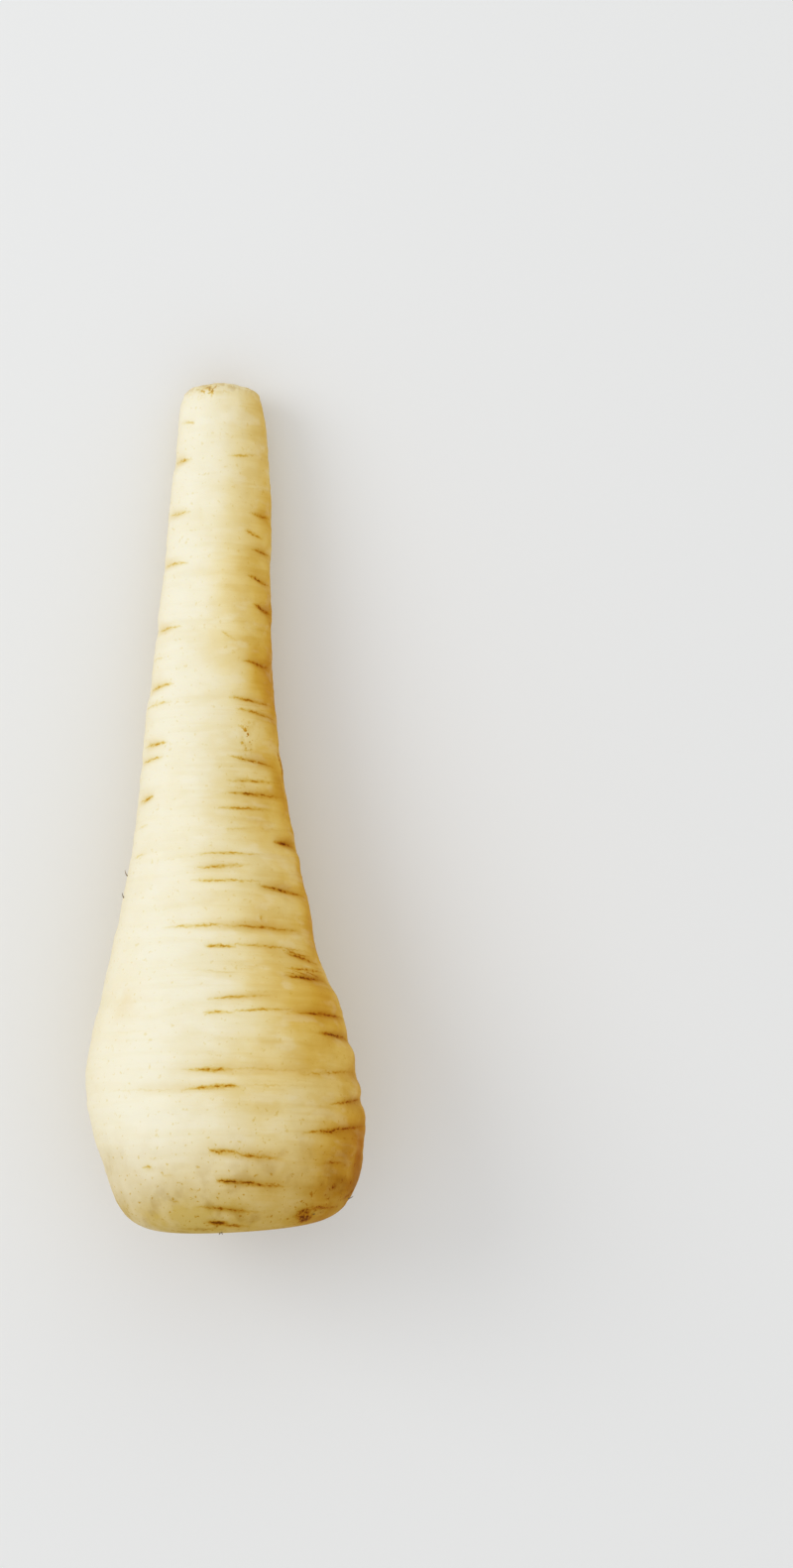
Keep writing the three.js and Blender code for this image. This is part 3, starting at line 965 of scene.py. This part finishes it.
def stub_shell(i, between, rows, sides):
    """A stub: a crescent round the crown's middle whose section shrinks towards a ragged, dished top. The
    wide way follows the circle, the deep way its radius; ribs run up it. Gives its points and their
    level."""
    inner = i < INNER
    away = STUB_SPREAD * np.sqrt(i + 0.25)
    floor = cushion_top(away)
    width = between(2.6, 3.4) if inner else between(4.8, 6.6)
    thick = between(2.1, 2.8) if inner else between(1.5, 2.1)
    tall = TOP - floor - between(0, 0.6 if inner else 1.3)
    lean = 0.04 * away
    askew = between(-0.2, 0.2)
    rng = np.random.default_rng(500 + i)
    v = np.linspace(0, 1, rows)[:, None]
    level = np.interp(v, (0, 0.75, 0.85, 1), (0, 1, 0.96, 0.8))
    scale = np.interp(v, (0, 0.35, 0.6, 0.75, 0.82, 1), (1, 0.96, 0.9, 0.78, 0.55, 0.05))
    round_ = (2 * np.pi * np.arange(sides) / sides)[None, :]
    ribs = 1 + 0.1 * np.sin(3 * round_ + rng.uniform(0, 6))
    ribs = ribs + 0.07 * np.sin(8 * round_ + rng.uniform(0, 6))
    ribs = ribs + 0.14 * soft_noise(12 * v, np.degrees(round_), 2.2, 12, 700 + i)
    wide = width / 2 * scale * np.cos(round_) * ribs
    deep = thick / 2 * scale * np.sin(round_) * ribs
    up = (tall + STUB_SUNK) * level
    ragged = rng.uniform(-1, 0.2, sides) * 0.7 + 0.4 * np.sin(2 * round_ + rng.uniform(0, 6))
    up = up + ragged * eased((level - 0.7) / 0.3) * np.clip(scale * 1.4, 0, 1)
    radius = away + deep + lean * up + 0.3 * soft_noise(10 * v, np.degrees(round_), 3.5, 6, 600 + i)
    angle = i * GOLDEN_ANGLE + wide / (away + 1.4)
    height = floor - STUB_SUNK + up + (askew * wide - abs(askew) * width / 2) * level
    points = np.stack([radius * np.cos(angle), radius * np.sin(angle), height], axis=-1)
    return points, level + 0 * round_


def make_stubs(material):
    """The stubs and the cushion that they grow from, with marks for what is deep (painted shade), a top or
    pale.
    """
    between = drawn_from(STUB_SEED)
    shells, tops = zip(*[stub_shell(i, between, 24, 40) for i in range(STUBS)])
    rng = np.random.default_rng(99)
    marks = {
        # deep: painted shade, darker low down between the stubs
        "deep": [1 - eased((shell[..., 2] - 4.6) / 1.2) for shell in shells],
        "top": [eased((level - 0.8) / 0.2) for level in tops],
        "pale": [rng.uniform(0, 1) ** 2 + 0 * level for level in tops],
    }
    piece = closed_mesh("parsnip_stubs", [in_crown(shell) for shell in shells], marks)
    dress(piece, material, "dry_stalk", "leaf_stalk_stubs")
    cushion = cushion_shell(90, 120)
    flat = 0 * cushion[..., 2]
    # Painted shade on the cushion, darker low down
    deep = 1 - eased((cushion[..., 2] - 3.6) / 1.6)
    marks = {"deep": [deep], "top": [flat], "pale": [flat + 0.15]}
    base = closed_mesh("parsnip_crown_cushion", [in_crown(cushion)], marks)
    dress(base, material, "dry_stalk", "leaf_stalk_stubs")


def make_fibres(material):
    """Thin torn fibres between the stubs, which stand up and curl over."""
    rng = np.random.default_rng(5)
    shells = []
    for _ in range(FIBRES):
        away = 9.6 * np.sqrt(rng.uniform(0, 1))
        angle = rng.uniform(0, 2 * np.pi)
        turn = rng.uniform(0, 2 * np.pi)
        length = rng.uniform(1.2, 3.0)
        u = np.linspace(0, 1, 9)[:, None]
        start = np.array([away * np.cos(angle), away * np.sin(angle), cushion_top(away) - 0.3])
        sideways = np.array([np.cos(turn), np.sin(turn), 0])
        path = start + length * (u * (0, 0, 1) * (1 - 0.35 * u) + 0.7 * u**2 * sideways)
        path[:, 2] = np.minimum(path[:, 2], TOP + 0.4)
        shells.append(tube(path, np.interp(u[:, 0], (0, 1), (0.16, 0.05)), 6))
    level = np.linspace(0, 1, 9)[:, None] + np.zeros((1, 6))
    # Fibres darker at their base: painted shade
    marks = {"deep": [0.6 * (1 - level)], "top": [level], "pale": [0.5 + 0 * level]}
    marks = {key: grids * FIBRES for key, grids in marks.items()}
    piece = closed_mesh("parsnip_crown_fibres", [in_crown(shell) for shell in shells], marks)
    dress(piece, material, "dry_stalk", "leaf_stalk_stubs")


def unit(vectors):
    return vectors / np.linalg.norm(vectors, axis=-1, keepdims=True)


def tube(path, radii, sides):
    """A closed tube: circles of the given radii square to a path of points."""
    ahead = unit(np.gradient(path, axis=0))
    first = unit(np.cross(ahead, (0.3, 0.2, 1.0)))
    second = np.cross(ahead, first)
    round_ = (2 * np.pi * np.arange(sides) / sides)[None, :, None]
    ring = first[:, None] * np.cos(round_) + second[:, None] * np.sin(round_)
    return path[:, None] + radii[:, None, None] * ring


def make_rootlets(skin, along, degrees):
    """Short dried rootlets where the skin broke: each leaves the skin outwards and curls towards the tail.
    None grows in the crown's pit, which the first rows of the skin line."""
    pit_rows = 38
    rng = np.random.default_rng(77)
    places = list(FIRST_ROOTLETS)
    while len(places) < ROOTLETS:
        places.append((rng.uniform(12, 150), rng.uniform(200, 345), rng.uniform(0.8, 2.4)))
    rows, cols = along.shape
    shells = []
    for at, angle, length in places:
        away = (along - at) ** 2 + (past(degrees, angle) * 0.3) ** 2
        near = np.argmin(np.where(np.arange(rows)[:, None] > pit_rows, away, np.inf))
        row, col = divmod(near, cols)
        base = skin[row, col]
        down_root = unit(skin[row + 2, col] - skin[row - 2, col])
        around = skin[row, (col + 2) % cols] - skin[row, col - 2]
        out = unit(np.cross(around, down_root))
        if np.dot(out, base - skin[row].mean(0)) < 0:
            out = -out
        u = np.linspace(0, 1, 8)[:, None]
        sideways = unit(around) * rng.uniform(-0.5, 0.5)
        path = base + length * (0.55 * (u - 0.15) * out + u**2 * (0.7 * down_root + sideways))
        path[:, 2] = np.maximum(path[:, 2], 0.15)
        shells.append(tube(path, np.interp(u[:, 0], (0, 1), (0.14, 0.03)), 6))
    piece = closed_mesh("parsnip_rootlets", shells)
    dress(piece, rootlet_material(), "dry_stalk")


def make_floor():
    """A pale square, 20 m across, at the height that the root lies on."""
    half = 10.0
    corners = [(-half, -half, 0), (half, -half, 0), (half, half, 0), (-half, half, 0)]
    mesh = bpy.data.meshes.new("floor")
    mesh.from_pydata(corners, [], [(0, 1, 2, 3)])
    floor = bpy.data.objects.new("floor", mesh)
    bpy.context.scene.collection.objects.link(floor)
    mesh.materials.append(floor_material())


def area_light(name, place, target, size, power, colour):
    """Round lamp, turned so that its -Z points at the target."""
    light = bpy.data.lights.new(name, "AREA")
    light.shape = "DISK"
    light.size = size
    light.energy = power
    light.color = colour
    lamp = bpy.data.objects.new(name, light)
    bpy.context.scene.collection.objects.link(lamp)
    lamp.location = place
    aim = unit(np.array(target) - np.array(place))
    tilt = float(np.arccos(-aim[2]))
    heading = float(np.arctan2(-aim[0], aim[1]))
    lamp.rotation_euler = (tilt, 0, heading)


def make_lights():
    """Even white surroundings and one broad soft lamp from the left."""
    world = bpy.data.worlds.new("studio")
    world.use_nodes = True
    background = world.node_tree.nodes["Background"]
    background.inputs["Color"].default_value = (1.0, 1.0, 0.99, 1.0)
    background.inputs["Strength"].default_value = 0.8
    bpy.context.scene.world = world
    area_light(
        "key",
        place=(-0.85, 0.3, 0.75),
        target=(0, 0, 0.02),
        size=0.7,
        power=3.0,
        colour=(1.0, 0.995, 0.98),
    )
    bpy.context.scene.view_settings.view_transform = "Standard"


def make_camera():
    """Straight above, with the picture's long side along the root. The pixels' size holds at the height of
    the root's middle; the footprint's middle falls on footprint_pixel."""
    picture = (800, 1581)
    pixel = 0.185
    footprint_pixel = (228.7, 810.8)
    middle_height = 18.0
    distance = 1100.0
    camera = bpy.data.cameras.new("camera")
    camera.sensor_width = 36.0
    camera.lens = camera.sensor_width * distance / (picture[1] * pixel)
    holder = bpy.data.objects.new("camera", camera)
    bpy.context.scene.collection.objects.link(holder)
    right = (picture[0] / 2 - footprint_pixel[0]) * pixel
    up = (footprint_pixel[1] - picture[1] / 2) * pixel
    holder.location = (right * MM, up * MM, (middle_height + distance) * MM)
    bpy.context.scene.camera = holder


dry_stalk = stalk_material()
make_stubs(dry_stalk)
make_fibres(dry_stalk)
make_rootlets(*make_root())
make_floor()
make_lights()
make_camera()
